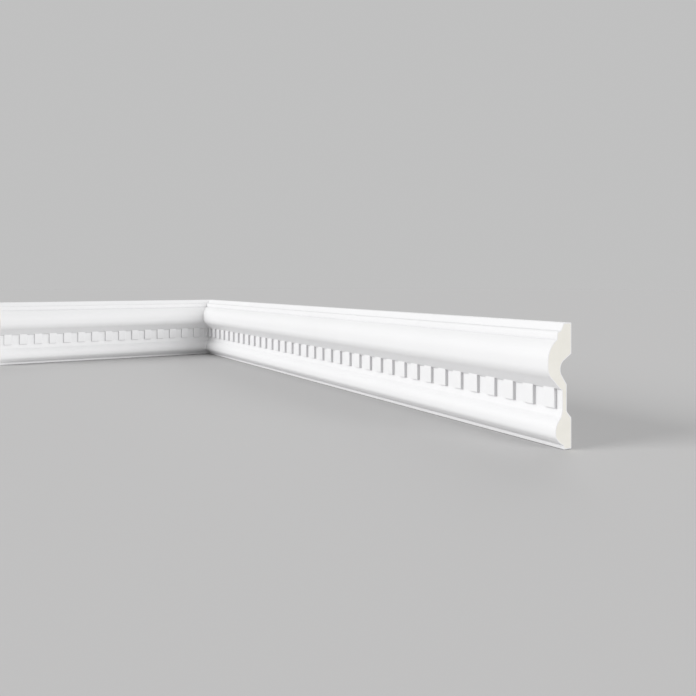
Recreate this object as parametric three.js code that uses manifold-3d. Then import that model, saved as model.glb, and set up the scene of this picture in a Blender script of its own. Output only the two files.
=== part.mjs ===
import * as THREE from 'three';
import { mergeGeometries, mergeVertices } from 'three/addons/utils/BufferGeometryUtils.js';
import Module from 'manifold-3d';

// A white dado rail of hard foam with a band of dentils, fitted round an inner corner of a room.
// It is two lengths of one moulding, cut at 45 degrees where they meet and square at the far ends.
// Millimetres, +Z up. The origin is the corner of the room at the rail's lower edge.
// The side wall is the plane x = 0, and its length runs from the corner towards -Y.
// The back wall is the plane y = 0, and its length runs from the corner towards -X.

const railHeight = 90;
const railDepth = 24;
const sideLength = 750;
const backLength = 321;
const mitreGap = 0.3;
const stepsInRound = 10;

// The hollow behind the rail: a flat web behind the dentils and a deeper pocket behind the torus.
const lowerLandTop = 22;
const upperLandFoot = 67.8;
const webOut = 4.75;

// The dentils: blocks that stand on the flat band and run up into the slope under the torus.
const dentilPitch = 20;
const dentilWidth = 10;
const dentilFront = 12;
const dentilFoot = 29;
const dentilHead = 44.5;
const bandOut = 9.3;
const bandHead = 42.4;
const dentilRoot = bandOut - 2;
const sideDentils = 37;
const backDentils = 16;

// The upright of the torus and of the lower roll, from their upper round to their lower one.
const torusTop = 63;
const torusFoot = 59;
const rollOut = 16.3;
const rollTop = 12.8;
const rollFoot = 11.3;

// The section, once round from the wall at the top. Each member ends at a distance out from the
// wall and a height up, and swells that far beyond the straight line from the member before it.
// A minus swell is a hollow in the line.
const section = [
  { member: 'top face', out: 7.8, up: railHeight },
  { member: 'bevel', out: 10.8, up: 84.4 },
  { member: 'upper ledge', out: 13.2, up: 84.2 },
  { member: 'bead', out: 14.9, up: 78.5, swell: 0.6 },
  { member: 'quirk', out: 16, up: 77.9 },
  { member: 'torus, upper round', out: railDepth, up: torusTop, swell: 2.1 },
  { member: 'torus, front', out: railDepth, up: torusFoot },
  { member: 'torus, lower round', out: 19.3, up: 50.5, swell: 1.2 },
  { member: 'slope over the dentils', out: 11.2, up: 42.9 },
  { member: 'return to the band', out: bandOut, up: bandHead },
  { member: 'band behind the dentils', out: bandOut, up: dentilFoot },
  { member: 'cove under the band', out: 10.8, up: 23.2, swell: -0.15 },
  { member: 'step over the roll', out: 11.5, up: 22.3 },
  { member: 'roll, upper round', out: rollOut, up: rollTop, swell: 1.3 },
  { member: 'roll, front', out: rollOut, up: rollFoot },
  { member: 'roll, lower round', out: 14.1, up: 7.5, swell: 0.54 },
  { member: 'slope under the roll', out: 8.3, up: 3.1 },
  { member: 'step over the fillet', out: 8, up: 2.4 },
  { member: 'foot fillet', out: 7.4, up: 0 },
  { member: 'foot', out: 0, up: 0 },
  { member: 'lower land', out: 0, up: lowerLandTop },
  { member: 'chamfer', out: 3.9, up: 26 },
  { member: 'round into the web', out: webOut, up: 28.6, swell: -0.3 },
  { member: 'web', out: webOut, up: 46.2 },
  { member: 'slope of the pocket', out: 9.8, up: 52.9 },
  { member: 'round of the pocket', out: 7.7, up: 63.4, swell: -2.4 },
  { member: 'slope to the upper land', out: 0, up: upperLandFoot },
];

const wasm = await Module();
wasm.setup();

// A round stretch from the last point to the member's end, on the circle that its swell gives.
// The outline runs clockwise, so the air is on the left of the way it goes.
function addRound(shape, from, to, swell) {
  const chord = to.clone().sub(from);
  const toAir = new THREE.Vector2(-chord.y, chord.x).normalize();
  const half = chord.length() / 2;
  const rise = Math.abs(swell);
  const radius = (half * half + rise * rise) / (2 * rise);
  const middle = from.clone().add(to).multiplyScalar(0.5);
  const inward = Math.sign(swell) * (radius - rise);
  const centre = middle.addScaledVector(toAir, -inward);
  const start = from.clone().sub(centre).angle();
  const end = to.clone().sub(centre).angle();
  shape.absarc(centre.x, centre.y, radius, start, end, swell > 0);
}

function sectionShape() {
  const shape = new THREE.Shape();
  let last = new THREE.Vector2(0, railHeight);
  shape.moveTo(last.x, last.y);
  for (const { out, up, swell = 0 } of section) {
    const next = new THREE.Vector2(out, up);
    if (swell === 0) {
      shape.lineTo(next.x, next.y);
    } else {
      addRound(shape, last, next, swell);
    }
    last = next;
  }
  shape.closePath();
  return shape;
}

// Joins the shared corners of a geometry, so that it can be cut and added to as a solid.
function toSolid(geometry) {
  const bare = geometry.clone();
  bare.deleteAttribute('normal');
  bare.deleteAttribute('uv');
  const merged = mergeVertices(bare, 1e-4);
  return new wasm.Manifold(new wasm.Mesh({
    numProp: 3,
    vertProperties: new Float32Array(merged.attributes.position.array),
    triVerts: new Uint32Array(merged.index.array),
  }));
}

function toGeometry(solid) {
  const mesh = solid.getMesh();
  const geometry = new THREE.BufferGeometry();
  geometry.setAttribute('position', new THREE.BufferAttribute(mesh.vertProperties, 3));
  geometry.setIndex(new THREE.BufferAttribute(mesh.triVerts, 1));
  geometry.computeVertexNormals();
  return geometry;
}

// A row of dentils at the pitch of the band: x is out from the wall, y is up, z is along the rail.
function dentilRow(count, firstCentre) {
  const blocks = Array.from({ length: count }, (_, i) => {
    const block = new THREE.BoxGeometry(
      dentilFront - dentilRoot,
      dentilHead - dentilFoot,
      dentilWidth,
    );
    return block.translate(
      (dentilFront + dentilRoot) / 2,
      (dentilHead + dentilFoot) / 2,
      firstCentre + i * dentilPitch,
    );
  });
  return toSolid(mergeGeometries(blocks));
}

// A block that takes off everything beyond the mitre, whose plane starts at the wall.
// Turned by 45 degrees it cuts the far end of a length, and by 135 degrees the near end.
function mitreBlock(along, degrees) {
  const size = 4 * railDepth;
  const block = new THREE.BoxGeometry(size, 2 * railHeight, size);
  block.translate(0, railHeight / 2, size / 2 - mitreGap / 2);
  block.rotateY(THREE.MathUtils.degToRad(degrees));
  return toSolid(block.translate(0, 0, along));
}

function railLength(name, { length, dentils, firstDentil, mitreAt, mitreDegrees }) {
  const bar = new THREE.ExtrudeGeometry(sectionShape(), {
    depth: length,
    bevelEnabled: false,
    curveSegments: stepsInRound / 2,
  });
  const solid = toSolid(bar)
    .add(dentilRow(dentils, firstDentil))
    .subtract(mitreBlock(mitreAt, mitreDegrees));
  const primed = new THREE.MeshStandardMaterial({ color: 0xf2f2f3, roughness: 0.55, metalness: 0 });
  const mesh = new THREE.Mesh(toGeometry(solid), primed);
  mesh.name = name;
  return mesh;
}

// Turns a length so that its section stands out from its wall, and it runs the way it is given.
function fixToWall(mesh, start, out, along) {
  const up = new THREE.Vector3(0, 0, 1);
  mesh.quaternion.setFromRotationMatrix(new THREE.Matrix4().makeBasis(out, up, along));
  mesh.position.copy(start);
  return mesh;
}

// The first dentil of each length stands half a gap from its square end.
const endToDentil = dentilPitch / 2;

const rail = new THREE.Group();

rail.add(fixToWall(
  railLength('side_wall_length', {
    length: sideLength,
    dentils: sideDentils,
    firstDentil: endToDentil,
    mitreAt: sideLength,
    mitreDegrees: 45,
  }),
  new THREE.Vector3(0, -sideLength, 0),
  new THREE.Vector3(-1, 0, 0),
  new THREE.Vector3(0, 1, 0),
));

rail.add(fixToWall(
  railLength('back_wall_length', {
    length: backLength,
    dentils: backDentils,
    firstDentil: backLength - endToDentil - (backDentils - 1) * dentilPitch,
    mitreAt: 0,
    mitreDegrees: 135,
  }),
  new THREE.Vector3(0, 0, 0),
  new THREE.Vector3(0, -1, 0),
  new THREE.Vector3(-1, 0, 0),
));

export default rail;
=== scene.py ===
"""A primed white dado rail with a dentil band, mitred round an inner corner.

The rail's lengths are lofted as fine meshes from one section, finished as primer over foam, and set
on a pale studio floor. Section sizes are millimetres, out from the wall and up from the lower edge.
"""

import logging
import math
from dataclasses import dataclass
from enum import Enum
from typing import NamedTuple

import bpy
import numpy as np
from mathutils import Euler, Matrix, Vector


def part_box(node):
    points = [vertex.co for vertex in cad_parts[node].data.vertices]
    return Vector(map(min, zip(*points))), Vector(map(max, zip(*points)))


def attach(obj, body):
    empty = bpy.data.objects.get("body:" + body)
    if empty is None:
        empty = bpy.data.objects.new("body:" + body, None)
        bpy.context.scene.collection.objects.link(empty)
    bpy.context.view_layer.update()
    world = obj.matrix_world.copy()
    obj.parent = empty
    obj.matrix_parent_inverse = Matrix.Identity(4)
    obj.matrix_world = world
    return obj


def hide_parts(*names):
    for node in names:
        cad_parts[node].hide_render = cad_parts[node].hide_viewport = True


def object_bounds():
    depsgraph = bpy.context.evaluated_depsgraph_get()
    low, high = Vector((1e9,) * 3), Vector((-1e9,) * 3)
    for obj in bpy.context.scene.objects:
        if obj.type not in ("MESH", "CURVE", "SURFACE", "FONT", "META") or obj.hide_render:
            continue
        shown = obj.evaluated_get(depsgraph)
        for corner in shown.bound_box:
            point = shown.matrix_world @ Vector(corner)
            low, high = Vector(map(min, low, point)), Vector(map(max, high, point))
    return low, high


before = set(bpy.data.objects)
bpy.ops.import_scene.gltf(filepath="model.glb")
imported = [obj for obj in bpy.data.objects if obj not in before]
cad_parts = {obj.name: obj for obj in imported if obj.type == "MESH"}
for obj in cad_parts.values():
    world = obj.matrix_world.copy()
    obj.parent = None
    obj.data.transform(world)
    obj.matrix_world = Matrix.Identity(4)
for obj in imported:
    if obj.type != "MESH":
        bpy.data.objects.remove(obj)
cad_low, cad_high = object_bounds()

Array = np.ndarray
Faces = list[list[int]]
Way = tuple[float, float, float]
Colour = tuple[float, float, float, float]
MM = 0.001
UP = np.array([0.0, 0.0, 1.0])
FEWEST_SAMPLES = 2
LINE_DECIMALS = 4
LENGTH_DECIMALS = 3
NODE_COLUMN = 220
log = logging.getLogger("dado_rail")


class Member(NamedTuple):
    """One member of the section, which ends at a point and swells beyond the straight line to it."""

    name: str
    out: float
    up: float
    swell: float = 0.0

    def points(self, start: Array, step: float) -> Array:
        """Samples the member, without its end, as an arc whose rise over its chord is the swell.

        At a place x from the chord's middle the arc stands sqrt(r * r - x * x) - (r - swell) off
        the chord, and r follows from half the chord and the swell.

        Args:
            start: Where the member before this one ends.
            step: The distance between samples.

        Returns:
            The samples, one row of out and up for each.
        """
        chord = np.array([self.out, self.up]) - start
        half = np.hypot(*chord) / 2
        count = max(FEWEST_SAMPLES, round(2 * half / step))
        share = np.arange(count) / count
        rise = np.zeros_like(share)
        if self.swell:
            bulge = abs(self.swell)
            radius = (half**2 + bulge**2) / (2 * bulge)
            off_chord = np.sqrt(radius**2 - ((2 * share - 1) * half) ** 2) - (radius - bulge)
            rise = math.copysign(1, self.swell) * off_chord
        to_air = np.array([-chord[1], chord[0]]) / (2 * half)
        return start + share[:, None] * chord + rise[:, None] * to_air


@dataclass(frozen=True)
class Dentils:
    """The row of blocks on the band: their places and the rounding of their edges.

    The steps are where a rounded edge needs grid lines, as shares of its own rounding.
    """

    pitch: float = 20.0
    width: float = 10.0
    front: float = 12.0
    foot: float = 29.0
    band: float = 9.3
    draft: float = 0.14
    arris: float = 0.4
    fillet: float = 0.3
    fillet_steps: tuple[float, ...] = (1.35, 1.0, 0.75, 0.45, 0.2, 0.06, 0.0)
    arris_steps: tuple[float, ...] = (0.0, 0.05, 0.18, 0.4, 0.7, 1.0, 1.3)

    def centres(self, length: float) -> Array:
        """Gives the distance of each dentil's middle from the corner, on a length that is cut in a gap."""
        return np.arange(length - self.pitch / 2, 0, -self.pitch)[::-1]

    def edge_steps(self) -> Array:
        """Gives the distances inside a dentil's edge at which its rounded side needs a grid line."""
        outside = -self.draft - self.fillet * np.array(self.fillet_steps)
        return np.concatenate([outside, self.arris * np.array(self.arris_steps)])

    def height(self, inside: Array) -> Array:
        """Gives how far a dentil stands off the band at a distance inside its edge.

        From outside inwards it is a quarter round fillet, a steep side with draft, a quarter round
        arris and the flat front.

        Args:
            inside: The distance inside the edge, less than nothing outside it.

        Returns:
            The height above the band.
        """
        full = self.front - self.band
        foot = np.clip(inside + self.draft + self.fillet, 0, self.fillet)
        root = self.fillet - np.sqrt(self.fillet**2 - foot**2)
        side = np.clip((inside + self.draft) / self.draft, 0, 1) * (full - self.arris - self.fillet)
        left = self.arris - np.clip(inside, 0, self.arris)
        top = np.sqrt(self.arris**2 - left**2)
        return root + side + top

    def stand_off(self, up: Array, along: Array, length: float) -> Array:
        """Gives the share of a dentil's full height over the band at each place.

        Args:
            up: Heights above the rail's lower edge.
            along: Distances from the corner.
            length: The length of the rail on its wall.

        Returns:
            Nothing on the bare band, and one on the front of a dentil.
        """
        beside = (along - length) % self.pitch
        inside = np.minimum(self.width / 2 - np.abs(beside - self.pitch / 2), up - self.foot)
        return self.height(inside) / (self.front - self.band)


@dataclass(frozen=True)
class Section:
    """The rail's section as one smooth closed outline that runs clockwise, with the air on its left.

    The outline is sampled every so often, and the mesh picks its points from the samples: none
    further apart than the longest step, and none with more than the sharpest turn between them.
    """

    members: tuple[Member, ...]
    dentils: Dentils
    sample: float = 0.05
    soft_arris: float = 0.2
    longest_step: float = 7.0
    sharpest_turn: float = math.radians(6)
    band_head: float = 45.4
    band_foot: float = 28.2
    skin: float = 0.62
    skin_softness: float = 4.0
    hollow_softness: float = 3.0
    # Gain of the shade painted into the primer in the section's hollows.
    hollow_shade: float = 2.2

    def loop(self) -> Array:
        """Samples the sharp outline at even steps, all the way round.

        Returns:
            The samples, one row of out and up for each.
        """
        ends = np.array([(m.out, m.up) for m in self.members])
        starts = np.roll(ends, 1, axis=0)
        rough = np.concatenate([m.points(s, self.sample) for m, s in zip(self.members, starts)])
        closed = np.concatenate([rough, rough[:1]])
        reach = np.concatenate([[0], np.cumsum(np.hypot(*np.diff(closed, axis=0).T))])
        even = np.linspace(0, reach[-1], round(reach[-1] / self.sample), endpoint=False)
        return np.stack([np.interp(even, reach, closed[:, i]) for i in range(2)], axis=1)

    def softened(self, reach: float) -> Array:
        """Rounds the outline by a bell-shaped average along it, worked on its Fourier terms.

        Args:
            reach: The spread of the average, which is about the radius that a corner gets.

        Returns:
            The softened outline, sample for sample.
        """
        loop = self.loop()
        waves = np.fft.rfftfreq(len(loop), d=self.sample)
        damp = np.exp(-2 * (math.pi * reach * waves) ** 2)
        return np.fft.irfft(np.fft.rfft(loop, axis=0) * damp[:, None], n=len(loop), axis=0)

    def air(self, loop: Array) -> Array:
        """Gives the direction to the air at each sample, square to the line between its neighbours.

        Args:
            loop: A sampled outline.

        Returns:
            Unit directions of out and up, one row for each sample.
        """
        way = np.roll(loop, -1, axis=0) - np.roll(loop, 1, axis=0)
        square = np.stack([-way[:, 1], way[:, 0]], axis=1)
        return square / np.linalg.norm(square, axis=1, keepdims=True)

    def band_ends(self, outline: Array) -> tuple[int, int]:
        """Finds the samples at the head and the foot of the dentil band, on the rail's face.

        Args:
            outline: The softened outline, whose first half is the face.

        Returns:
            The number of the sample at the head and of the one at the foot.
        """
        heights = outline[: len(outline) // 2, 1]
        head = int(np.argmin(np.abs(heights - self.band_head)))
        return head, int(np.argmin(np.abs(heights - self.band_foot)))

    def hollows(self, outline: Array, air: Array) -> Array:
        """Gives the shade painted at each sample, by how far it lies in a hollow of the section.

        It is how far a rounder outline would stand further out there, times the gain of the painted shade.

        Args:
            outline: The softened outline.
            air: The direction to the air at each sample.

        Returns:
            Nothing on a flat or a bulge, up to one deep in a hollow.
        """
        fuller = self.softened(self.hollow_softness * self.soft_arris) - outline
        return np.clip((fuller * air).sum(axis=1) * self.hollow_shade, 0, 1)

    def foam_edge(self) -> Array:
        """Gives the outline of the bare foam at a cut, which lies a skin's thickness inside.

        Returns:
            Its samples, which go with those of the softened outline.
        """
        inner = self.softened(self.skin_softness * self.soft_arris)
        return inner - self.skin * self.air(inner)

    def picks(self, air: Array, first: int, last: int) -> Array:
        """Chooses samples from one to another, close together where the outline turns.

        Each step uses up one unit of length over the longest step plus turning over the sharpest.

        Args:
            air: The direction to the air at each sample.
            first: The sample to start from.
            last: The sample to end at, which may lie past the end of the outline.

        Returns:
            The numbers of the chosen samples, both ends among them.
        """
        heading = np.unwrap(np.arctan2(air[:, 1], air[:, 0]))
        turning = np.abs(np.diff(heading, append=heading[-1]))
        cost = np.tile(self.sample / self.longest_step + turning / self.sharpest_turn, 2)
        spent = np.cumsum(cost)[first : last + 1]
        steps = math.ceil(spent[-1] - spent[0])
        wanted = np.linspace(spent[0], spent[-1], steps + 1)
        chosen = np.unique(np.searchsorted(spent, wanted).clip(0, last - first))
        return (first + chosen) % len(air)


class Sheet(NamedTuple):
    """A grid of the rail's surface: its points in metres, the way to the air and the painted shade."""

    points: Array
    air: Array
    painted_shade: Array

    def numbers(self, first: int) -> Array:
        """Numbers the grid's points row by row, from the first number given."""
        return first + np.arange(self.painted_shade.size).reshape(self.painted_shade.shape)


class RailMesh(NamedTuple):
    """A closed mesh on its way into Blender, in metres."""

    points: Array
    faces: Faces
    normals: Array
    finishes: Array
    painted_shade: Array


@dataclass
class RailLength:
    """One length of the rail: its section carried along a wall from the mitre to a square cut.

    The dentil band is a fine grid, and the rest of the section a coarse one.
    """

    name: str
    node: str
    section: Section
    out_from_wall: Array
    along_wall: Array
    length: float
    seam: float = 0.06
    clear_of_mitre: float = 14.5
    clear_of_torus: float = 26.0
    least_line_gap: float = 0.02
    least_row_gap: float = 0.012
    head_steps: tuple[float, ...] = (-0.3, -0.12, -0.04, 0, 0.04, 0.12, 0.3)
    samples_beyond: int = 40
    slope_reach: float = 0.004
    # Gain of the shade painted on the dentils' sides.
    side_shade_gain: float = 4.0
    least_stand_off: float = 0.004

    def lines(self) -> tuple[Array, Array]:
        """Places the grid lines across the rail: fine ones round every dentil, coarse ones in gaps.

        Returns:
            The distances of the fine lines from the corner, and the numbers of the coarse ones
            among them. Line nothing is the mitre, and its distance isn't used.
        """
        dentils = self.section.dentils
        centres = dentils.centres(self.length)
        edges = dentils.width / 2 - dentils.edge_steps()
        gaps = centres - dentils.pitch / 2
        fine = np.concatenate([
            (centres[:, None] + edges).ravel(),
            (centres[:, None] - edges).ravel(),
            centres,
            gaps,
            [self.length],
        ])
        beyond_mitre = fine[fine > self.clear_of_mitre + self.least_line_gap]
        fine = np.unique(np.round(beyond_mitre, LINE_DECIMALS))
        fine = np.concatenate([[0, self.clear_of_mitre], fine])
        coarse = np.append(gaps[gaps > self.clear_of_torus], self.length)
        return fine, np.append(0, np.searchsorted(fine, np.round(coarse, LINE_DECIMALS)))

    def band_rows(self, band: Array, picked: Array) -> Array:
        """Gives the heights of the band's grid rows, from its head down to its foot.

        Args:
            band: The part of the softened outline that the band is, from its head down.
            picked: The points chosen on it to carry its bare shape.

        Returns:
            Heights that fit the bare band, the foot of the dentils and their head in the slope.
        """
        dentils = self.section.dentils
        foot = dentils.foot + dentils.edge_steps()
        head = band[np.argmax(band[:, 0] <= dentils.front), 1]
        near_head = head + np.array(self.head_steps)
        rows = np.sort(np.concatenate([picked[:, 1], foot, near_head]))[::-1]
        rows = rows[np.append(True, np.diff(rows) < -self.least_row_gap)]
        rows[-1] = picked[-1, 1]
        return rows

    @staticmethod
    def bare(outline: Array, up: Array) -> Array:
        """Reads how far out the outline stands at each height, straight from sample to sample."""
        return np.interp(up, outline[::-1, 1], outline[::-1, 0])

    def surface(self, outline: Array, up: Array, along: Array) -> Array:
        """Gives how far out the band stands: the bare outline, raised to the front on a dentil.

        Args:
            outline: The part of the softened outline that the band is, from its head down.
            up: Heights above the rail's lower edge.
            along: Distances from the corner.

        Returns:
            The distances out from the wall.
        """
        dentils = self.section.dentils
        bare = self.bare(outline, up)
        return bare + np.maximum(dentils.front - bare, 0) * dentils.stand_off(up, along, self.length)

    def side_shade(self, outline: Array, up: Array, along: Array) -> Array:
        """Gives the shade painted on a dentil's side: one at its root, nothing on its front.

        Args:
            outline: The part of the softened outline that the band is, from its head down.
            up: Heights above the rail's lower edge.
            along: Distances from the corner.

        Returns:
            What is missing to the full height, times the gain, at most one, and nothing off the
            dentil. It fades where the dentil runs into the slope.
        """
        dentils = self.section.dentils
        share = dentils.stand_off(up, along, self.length)
        missing = np.clip(self.side_shade_gain * (1 - share), 0, 1)
        room = np.clip(dentils.front - self.bare(outline, up), 0, 1)
        return np.where(share > self.least_stand_off, missing, 0) * room

    def place(self, out: Array, up: Array, along: Array) -> Array:
        """Turns places on the rail into points of the room, in metres."""
        flat = out[..., None] * self.out_from_wall + up[..., None] * UP
        return (flat + along[..., None] * self.along_wall) * MM

    def turned(self, way: Array) -> Array:
        """Turns directions of out, up and along into unit directions of the room."""
        room = way @ np.stack([self.out_from_wall, UP, self.along_wall])
        return room / np.linalg.norm(room, axis=-1, keepdims=True)

    def band_sheet(self, outline: Array, ends: tuple[int, int], rows: Array, fine: Array) -> Sheet:
        """Lofts the dentil band, square to the slopes of its surface each way.

        The slopes are the differences between places a little above and below, and a little
        nearer and further, and the way to the air is twice that little, less each slope.

        Args:
            outline: The softened outline.
            ends: The samples at the band's head and foot.
            rows: The heights of the grid's rows.
            fine: The distances of the grid's lines from the corner.

        Returns:
            The band's grid.
        """
        head, foot = ends
        dentils = self.section.dentils
        band = outline[head : foot + 1]
        beyond = outline[head - self.samples_beyond : foot + 1 + self.samples_beyond]
        up, along = np.meshgrid(rows, fine, indexing="ij")
        along[:, 0] = (dentils.band + dentils.front) / 2
        out = self.surface(beyond, up, along)
        near = self.slope_reach
        slope_up = self.surface(beyond, up + near, along) - self.surface(beyond, up - near, along)
        slope_along = self.surface(beyond, up, along + near) - self.surface(beyond, up, along - near)
        steep = np.stack([np.full_like(out, 2 * near), -slope_up, -slope_along], axis=-1)
        along[:, 0] = out[:, 0] + self.seam
        # Painted shade on the dentils' sides.
        shade = self.side_shade(band, up, along)
        return Sheet(self.place(out, up, along), self.turned(steep), shade)

    def rest_sheet(self, outline: Array, air: Array, around: Array, lines: Array) -> Sheet:
        """Lofts the rest of the section, from under the band round the back to above it.

        Args:
            outline: The softened outline.
            air: The direction to the air at each sample.
            around: The samples that the grid's rows stand on.
            lines: The distances of the grid's lines from the corner.

        Returns:
            The grid of the rest.
        """
        ring = np.repeat(outline[around][:, None], len(lines), axis=1)
        along = np.repeat(lines[None], len(around), axis=0)
        along[:, 0] = ring[:, 0, 0] + self.seam
        ways = np.concatenate([air[around], np.zeros((len(around), 1))], axis=1)
        # Painted shade in the section's hollows.
        shade = self.section.hollows(outline, air)[around]
        return Sheet(
            self.place(ring[..., 0], ring[..., 1], along),
            np.repeat(self.turned(ways)[:, None], len(lines), axis=1),
            np.repeat(shade[:, None], len(lines), axis=1),
        )

    def build(self) -> RailMesh:
        """Lofts the length: a fine grid over the dentil band and a coarse one round the rest.

        Returns:
            The closed mesh, with its normals worked out from the shape.
        """
        section = self.section
        outline = section.softened(section.soft_arris)
        air = section.air(outline)
        head, foot = section.band_ends(outline)
        band = outline[head : foot + 1]
        rows = self.band_rows(band, outline[section.picks(air, head, foot)])
        around = section.picks(air, foot, head + len(outline))[1:-1]
        fine, coarse = self.lines()

        at_rows = head + np.searchsorted(-band[:, 1], -rows).clip(0, len(band) - 1)
        edge = section.foam_edge()[np.concatenate([at_rows, around])]
        return self.closed(
            self.band_sheet(outline, (head, foot), rows, fine),
            self.rest_sheet(outline, air, around, fine[coarse]),
            self.place(edge[:, 0], edge[:, 1], np.full(len(edge), self.length)),
            coarse,
        )

    def closed(self, band: Sheet, rest: Sheet, foam: Array, coarse: Array) -> RailMesh:
        """Joins the grids into one closed mesh, with a face on the mitre and foam in the cut.

        The two grids share their edge rows, and many-sided faces join their differing lines. The
        mitre is closed by one face, and the cut by a rim of skin round a face of foam.

        Args:
            band: The grid of the dentil band.
            rest: The grid of the rest of the section.
            foam: The points round the foam in the square cut.
            coarse: Which of the band's lines the rest stands on.

        Returns:
            The closed mesh.
        """
        band_id = band.numbers(0)
        rest_id = rest.numbers(band_id.size)
        foam_id = band_id.size + rest_id.size + np.arange(len(foam))
        sides = self.grid_faces(band_id) + self.grid_faces(rest_id)
        sides += self.joining_faces(band_id, rest_id, coarse)
        mitre = np.concatenate([band_id[:, 0], rest_id[:, 0]])
        cut = np.concatenate([band_id[:, -1], rest_id[:, -1]])
        rim = np.stack([cut, foam_id, np.roll(foam_id, -1), np.roll(cut, -1)], axis=1)
        faces = [*sides, *rim.tolist(), mitre.tolist(), foam_id[::-1].tolist()]
        if np.linalg.det([self.out_from_wall, UP, self.along_wall]) < 0:
            faces = [face[::-1] for face in faces]

        air = np.concatenate([band.air.reshape(-1, 3), rest.air.reshape(-1, 3)])
        facing_mitre = (self.out_from_wall - self.along_wall) / math.sqrt(2)
        normals = np.concatenate([
            air[np.concatenate(faces[: len(sides)])],
            np.tile(self.along_wall, (rim.size, 1)),
            np.tile(facing_mitre, (mitre.size, 1)),
            np.tile(self.along_wall, (foam_id.size, 1)),
        ])
        finishes = np.full(len(faces), Finish.PRIMER.value, dtype=np.int32)
        finishes[-1] = Finish.FOAM.value
        points = np.concatenate([band.points.reshape(-1, 3), rest.points.reshape(-1, 3), foam])
        painted_shade = np.concatenate([band.painted_shade.ravel(), rest.painted_shade.ravel(), np.zeros(len(foam))])
        return RailMesh(points, faces, normals, finishes, painted_shade)

    @staticmethod
    def grid_faces(numbers: Array) -> Faces:
        """Gives the four-sided faces of a grid of point numbers, facing the air."""
        corners = [numbers[:-1, :-1], numbers[:-1, 1:], numbers[1:, 1:], numbers[1:, :-1]]
        return np.stack(corners, axis=-1).reshape(-1, 4).tolist()

    @staticmethod
    def joining_faces(band: Array, rest: Array, coarse: Array) -> Faces:
        """Gives the many-sided faces between the band's edge rows and the rest of the rail.

        Args:
            band: The numbers of the band's points, from its head down.
            rest: The numbers of the other points, from under the band round to above it.
            coarse: Which of the band's lines the other points stand on.

        Returns:
            Two faces for each pair of coarse lines.
        """
        faces = []
        for line, (left, right) in enumerate(zip(coarse[:-1], coarse[1:])):
            under = band[-1, left : right + 1]
            faces.append([*under.tolist(), int(rest[0, line + 1]), int(rest[0, line])])
            over = band[0, left : right + 1][::-1]
            faces.append([int(rest[-1, line]), int(rest[-1, line + 1]), *over.tolist()])
        return faces

    def make(self, finishes: list[bpy.types.Material]) -> bpy.types.Object:
        """Puts the length into Blender, dresses it and hands it to the frame.

        Args:
            finishes: The materials, in the order of the finishes.

        Returns:
            The new object, which stands for the length's solid.
        """
        built = self.build()
        mesh = bpy.data.meshes.new(self.name)
        mesh.from_pydata(built.points, [], built.faces)
        for material in finishes:
            mesh.materials.append(material)
        mesh.polygons.foreach_set("material_index", built.finishes)
        mesh.polygons.foreach_set("use_smooth", np.ones(len(built.faces), dtype=bool))
        # Painted shade for the primer, stored on the points.
        painted_shade = mesh.attributes.new("painted_shade", "FLOAT", "POINT")
        painted_shade.data.foreach_set("value", built.painted_shade.astype(np.float32))
        mesh.normals_split_custom_set(built.normals.tolist())
        mesh.validate()
        piece = bpy.data.objects.new(self.name, mesh)
        bpy.context.scene.collection.objects.link(piece)
        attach(piece, "root")
        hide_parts(self.node)
        log.info("%s: %d points, %d faces", self.name, len(built.points), len(built.faces))
        return piece


class Finish(Enum):
    """The finishes of a length, by their place among its materials."""

    PRIMER = 0
    FOAM = 1


class Nodes:
    """Adds nodes to a tree, a column further on each time, and links them."""

    def __init__(self, tree: bpy.types.NodeTree) -> None:
        """Starts on a tree, which may hold nodes already."""
        self.tree = tree

    def add(self, kind: str, inputs: dict | None = None, **settings: object) -> bpy.types.Node:
        """Adds a node and sets it up.

        Args:
            kind: The node's type.
            inputs: Values or other nodes' sockets, by the input's name or number.
            settings: The node's own settings.

        Returns:
            The new node.
        """
        node = self.tree.nodes.new(kind)
        node.location.x = NODE_COLUMN * len(self.tree.nodes)
        for name, value in settings.items():
            setattr(node, name, value)
        for name, value in (inputs or {}).items():
            if isinstance(value, bpy.types.NodeSocket):
                self.tree.links.new(value, node.inputs[name])
            else:
                node.inputs[name].default_value = value
        return node


class CastGrain:
    """A node group that gives the fine unevenness of a cast surface and a slow drift of its tone."""

    def __init__(self) -> None:
        """Builds the group once."""
        self.tree = bpy.data.node_groups.new("cast_grain", "ShaderNodeTree")
        ends = self.tree.interface
        ends.new_socket("Vector", in_out="INPUT", socket_type="NodeSocketVector")
        for name in ("Grain Scale", "Drift Scale"):
            ends.new_socket(name, in_out="INPUT", socket_type="NodeSocketFloat")
        for name in ("Height", "Drift"):
            ends.new_socket(name, in_out="OUTPUT", socket_type="NodeSocketFloat")
        nodes = Nodes(self.tree)
        given = nodes.add("NodeGroupInput")
        place = given.outputs["Vector"]
        grain = nodes.add(
            "ShaderNodeTexNoise",
            {"Vector": place, "Scale": given.outputs["Grain Scale"], "Detail": 3.0, "Roughness": 0.55},
        )
        drift = nodes.add(
            "ShaderNodeTexNoise",
            {"Vector": place, "Scale": given.outputs["Drift Scale"], "Detail": 2.0, "Roughness": 0.5},
        )
        nodes.add("NodeGroupOutput", {"Height": grain.outputs["Fac"], "Drift": drift.outputs["Fac"]})

    def use(self, nodes: Nodes, grain: float, drift: float) -> bpy.types.Node:
        """Places the group in a material, on the object's own coordinates.

        Args:
            nodes: The material's nodes.
            grain: How many grains go to a metre.
            drift: How many patches of tone go to a metre.

        Returns:
            The group's node.
        """
        place = nodes.add("ShaderNodeTexCoord").outputs["Object"]
        group = nodes.add("ShaderNodeGroup", node_tree=self.tree)
        nodes.tree.links.new(place, group.inputs["Vector"])
        group.inputs["Grain Scale"].default_value = grain
        group.inputs["Drift Scale"].default_value = drift
        return group


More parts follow.
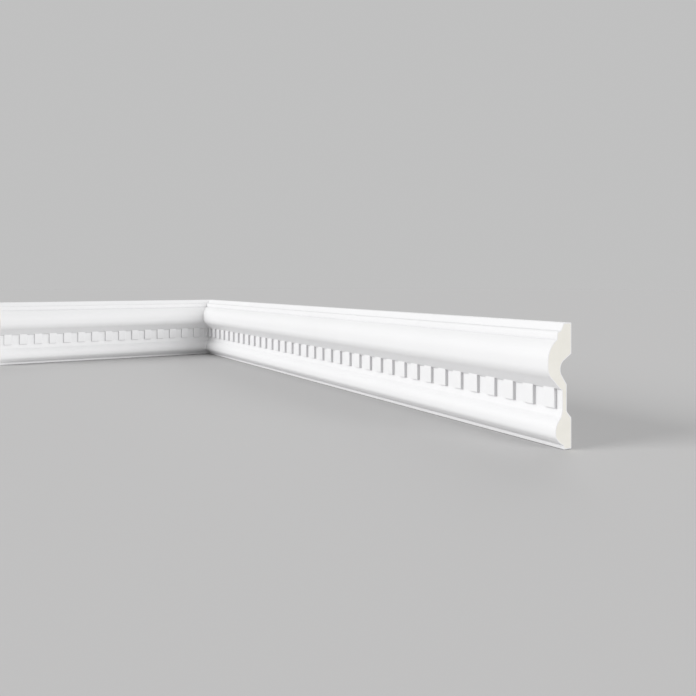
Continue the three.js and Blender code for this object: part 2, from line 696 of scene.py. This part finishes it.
@dataclass(frozen=True)
class Primer:
    """Matt white primer on a moulded skin, with shade painted a little greyer into its hollows.

    The painted shade starts at one depth, is at its most at another, and never hides all the white.
    """

    light: Colour = (0.912, 0.912, 0.918, 1)
    dark: Colour = (0.882, 0.882, 0.888, 1)
    # The grey of the shade painted into the hollows and on the dentils' sides.
    painted_shade_grey: Colour = (0.66, 0.66, 0.67, 1)
    grey_from: float = 0.05
    grey_full: float = 0.7
    grey_most: float = 0.9
    sheen_low: float = 0.46
    sheen_high: float = 0.58
    grain: float = 700.0
    drift: float = 14.0
    relief: float = 0.00003
    relief_strength: float = 0.6

    def material(self, grain: CastGrain) -> bpy.types.Material:
        """Builds the material.

        Args:
            grain: The group that gives the cast surface.

        Returns:
            The material.
        """
        made, nodes, shader = new_material("white_primer")
        cast = grain.use(nodes, self.grain, self.drift)
        tone = nodes.add(
            "ShaderNodeMix",
            {"Factor": cast.outputs["Drift"], "A": self.dark, "B": self.light},
            data_type="RGBA",
        )
        # Painted shade: the depth stored on each point greys the primer in hollows and on the dentils'
        # sides.
        depth = nodes.add("ShaderNodeAttribute", attribute_name="painted_shade")
        painted_shade_share = nodes.add(
            "ShaderNodeMapRange",
            {
                "Value": depth.outputs["Fac"],
                "From Min": self.grey_from,
                "From Max": self.grey_full,
                "To Max": self.grey_most,
            },
        )
        colour = nodes.add(
            "ShaderNodeMix",
            {"Factor": painted_shade_share.outputs["Result"], "A": tone.outputs["Result"], "B": self.painted_shade_grey},
            data_type="RGBA",
        )
        rough = nodes.add(
            "ShaderNodeMapRange",
            {"Value": cast.outputs["Drift"], "To Min": self.sheen_low, "To Max": self.sheen_high},
        )
        bump = nodes.add(
            "ShaderNodeBump",
            {
                "Strength": self.relief_strength,
                "Distance": self.relief,
                "Height": cast.outputs["Height"],
            },
        )
        nodes.tree.links.new(colour.outputs["Result"], shader.inputs["Base Color"])
        nodes.tree.links.new(rough.outputs["Result"], shader.inputs["Roughness"])
        nodes.tree.links.new(bump.outputs["Normal"], shader.inputs["Normal"])
        return made


@dataclass(frozen=True)
class Foam:
    """Cream rigid foam as a saw leaves it: even, dull and finely cellular."""

    light: Colour = (0.93, 0.91, 0.85, 1)
    dark: Colour = (0.885, 0.865, 0.80, 1)
    dark_under: float = 0.15
    light_over: float = 0.38
    dull: float = 0.85
    cells: float = 2600.0
    drift: float = 60.0
    relief: float = 0.00008
    relief_strength: float = 0.7

    def material(self, grain: CastGrain) -> bpy.types.Material:
        """Builds the material.

        Args:
            grain: The group that gives the cast surface, here at the scale of the cells.

        Returns:
            The material.
        """
        made, nodes, shader = new_material("cut_foam")
        cut = grain.use(nodes, self.cells, self.drift)
        mixed = nodes.add(
            "ShaderNodeMath",
            {0: cut.outputs["Height"], 1: cut.outputs["Drift"]},
            operation="MULTIPLY",
        )
        tone = nodes.add(
            "ShaderNodeMapRange",
            {"Value": mixed.outputs["Value"], "From Min": self.dark_under, "From Max": self.light_over},
        )
        colour = nodes.add(
            "ShaderNodeMix",
            {"Factor": tone.outputs["Result"], "A": self.dark, "B": self.light},
            data_type="RGBA",
        )
        bump = nodes.add(
            "ShaderNodeBump",
            {
                "Strength": self.relief_strength,
                "Distance": self.relief,
                "Height": cut.outputs["Height"],
            },
        )
        nodes.tree.links.new(colour.outputs["Result"], shader.inputs["Base Color"])
        nodes.tree.links.new(bump.outputs["Normal"], shader.inputs["Normal"])
        shader.inputs["Roughness"].default_value = self.dull
        return made


def new_material(name: str) -> tuple[bpy.types.Material, Nodes, bpy.types.Node]:
    """Starts a material that has one shader.

    Args:
        name: The material's name.

    Returns:
        The material, its nodes and the shader among them.
    """
    made = bpy.data.materials.new(name)
    made.use_nodes = True
    made.node_tree.nodes.clear()
    nodes = Nodes(made.node_tree)
    shader = nodes.add("ShaderNodeBsdfPrincipled")
    nodes.add("ShaderNodeOutputMaterial", {"Surface": shader.outputs["BSDF"]})
    return made, nodes, shader


@dataclass(frozen=True)
class FarLight:
    """A broad light from far off: the way to it, its strength and how wide it looks."""

    name: str
    towards: Way
    strength: float
    width: float = math.radians(28)

    def hang(self) -> None:
        """Hangs the light."""
        lamp = bpy.data.lights.new(self.name, "SUN")
        lamp.energy = self.strength
        lamp.angle = self.width
        light = bpy.data.objects.new(self.name, lamp)
        light.rotation_euler = Vector(self.towards).to_track_quat("Z", "Y").to_euler()
        bpy.context.scene.collection.objects.link(light)


@dataclass
class Studio:
    """A wide dull floor, an even sky that looks the same tone, and three broad far lights.

    The lights come from the left, from the front and, more weakly, from behind on the right.
    """

    centre: Vector
    floor_drop: float = 0.0004
    floor_radius: float = 12.0
    floor_rings: int = 8
    floor_corners: int = 96
    floor_tone: Colour = (0.586, 0.583, 0.583, 1)
    floor_roughness: float = 1.0
    floor_gloss: float = 0.0
    sky_tone: Colour = (1, 1, 1, 1)
    sky_strength: float = 0.53
    lights: tuple[FarLight, ...] = (
        FarLight("key_light", (-0.90, 0.22, 0.38), 1.72),
        FarLight("front_light", (0.30, -0.92, 0.25), 1.28),
        FarLight("back_light", (0.68, 0.52, 0.52), 0.40),
    )

    def floor(self) -> bpy.types.Object:
        """Lays the floor as rings of faces round a middle one, each ring twice as wide as the last.

        Returns:
            The floor.
        """
        reach = self.floor_radius / 2.0 ** np.arange(self.floor_rings)[::-1]
        turns = np.linspace(0, 2 * math.pi, self.floor_corners, endpoint=False)
        x = self.centre.x + np.outer(np.cos(turns), reach)
        y = self.centre.y + np.outer(np.sin(turns), reach)
        points = np.stack([x, y, np.full_like(x, -self.floor_drop)], axis=-1)
        numbers = np.arange(x.size).reshape(x.shape)
        numbers = np.concatenate([numbers, numbers[:1]])
        faces = RailLength.grid_faces(numbers)
        faces.append(numbers[:-1, 0].tolist())
        mesh = bpy.data.meshes.new("floor")
        mesh.from_pydata(points.reshape(-1, 3), [], faces)
        mesh.materials.append(self.floor_paint())
        floor = bpy.data.objects.new("floor", mesh)
        bpy.context.scene.collection.objects.link(floor)
        return floor

    def floor_paint(self) -> bpy.types.Material:
        """Builds the floor's dull paint.

        Returns:
            The material.
        """
        made, _, shader = new_material("floor_paint")
        shader.inputs["Base Color"].default_value = self.floor_tone
        shader.inputs["Roughness"].default_value = self.floor_roughness
        shader.inputs["Specular IOR Level"].default_value = self.floor_gloss
        return made

    def light(self) -> None:
        """Hangs the far lights and lets even light in from above."""
        for far_light in self.lights:
            far_light.hang()
        world = bpy.data.worlds.new("studio")
        world.use_nodes = True
        sky = world.node_tree.nodes["Background"]
        sky.inputs["Color"].default_value = self.sky_tone
        sky.inputs["Strength"].default_value = self.sky_strength
        bpy.context.scene.world = world
        bpy.context.scene.view_settings.view_transform = "Standard"


@dataclass(frozen=True)
class Viewpoint:
    """The camera at the photograph's viewing angle: metres, degrees, and millimetres for the lens."""

    place: Way = (-0.3839, -1.0739, 0.1185)
    turned_right: float = 30.395
    lens: float = 34.23
    sensor: float = 36.0
    shift: tuple[float, float] = (0.015, -0.0937)
    nearest: float = 0.01

    def make(self) -> bpy.types.Object:
        """Makes the scene's camera.

        Returns:
            The camera.
        """
        lens = bpy.data.cameras.new("camera")
        lens.lens = self.lens
        lens.sensor_width = self.sensor
        lens.shift_x, lens.shift_y = self.shift
        lens.clip_start = self.nearest
        camera = bpy.data.objects.new("camera", lens)
        camera.location = self.place
        camera.rotation_euler = Euler((math.pi / 2, 0, -math.radians(self.turned_right)))
        bpy.context.scene.collection.objects.link(camera)
        bpy.context.scene.camera = camera
        return camera


MEMBERS = (
    Member("back edge of the top", 0, 90),
    Member("top face", 7.8, 90),
    Member("bevel", 10.8, 84.4),
    Member("upper ledge", 13.2, 84.2),
    Member("bead, upper round", 14.5, 82, 0.35),
    Member("bead, front", 14.4, 78.5),
    Member("quirk", 16, 77.9),
    Member("torus, upper round", 24, 63, 2.1),
    Member("torus, front", 24, 59),
    Member("torus, lower round", 19.3, 50.5, 1.2),
    Member("slope over the dentils", 11.7, 43.37),
    Member("return to the band", 9.3, 42.4),
    Member("band behind the dentils", 9.3, 29),
    Member("cove under the band", 10.8, 23.2, -0.15),
    Member("step over the roll", 11.5, 22.3),
    Member("roll, upper round", 16.3, 12.8, 1.3),
    Member("roll, front", 16.3, 11.3),
    Member("roll, lower round", 14.2, 7.3, 0.5),
    Member("slope under the roll", 8.3, 3.1, 0.4),
    Member("step over the fillet", 8, 2.4),
    Member("foot fillet", 7.4, 0),
    Member("foot", 0, 0),
    Member("lower land", 0, 22),
    Member("chamfer", 3.9, 26),
    Member("round into the web", 4.75, 28.6, -0.3),
    Member("web", 4.75, 46.2),
    Member("slope of the pocket", 9.8, 52.9),
    Member("round of the pocket", 7.7, 63.4, -2.4),
    Member("slope to the upper land", 0, 67.8),
)


def main() -> None:
    """Builds the camera, both lengths and the studio."""
    logging.basicConfig(level=logging.INFO, format="%(name)s: %(message)s")
    Viewpoint().make()
    section = Section(MEMBERS, Dentils())
    grain = CastGrain()
    finishes = [Primer().material(grain), Foam().material(grain)]
    side_low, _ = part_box("side_wall_length")
    back_low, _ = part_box("back_wall_length")
    lengths = (
        RailLength(
            name="side_wall_rail",
            node="side_wall_length",
            section=section,
            out_from_wall=np.array([-1.0, 0, 0]),
            along_wall=np.array([0, -1.0, 0]),
            length=round(-side_low.y / MM, LENGTH_DECIMALS),
        ),
        RailLength(
            name="back_wall_rail",
            node="back_wall_length",
            section=section,
            out_from_wall=np.array([0, -1.0, 0]),
            along_wall=np.array([-1.0, 0, 0]),
            length=round(-back_low.x / MM, LENGTH_DECIMALS),
        ),
    )
    for length in lengths:
        length.make(finishes)
    studio = Studio(centre=Vector(((cad_low.x + cad_high.x) / 2, (cad_low.y + cad_high.y) / 2, 0)))
    studio.floor()
    studio.light()


if __name__ == "__main__":
    main()
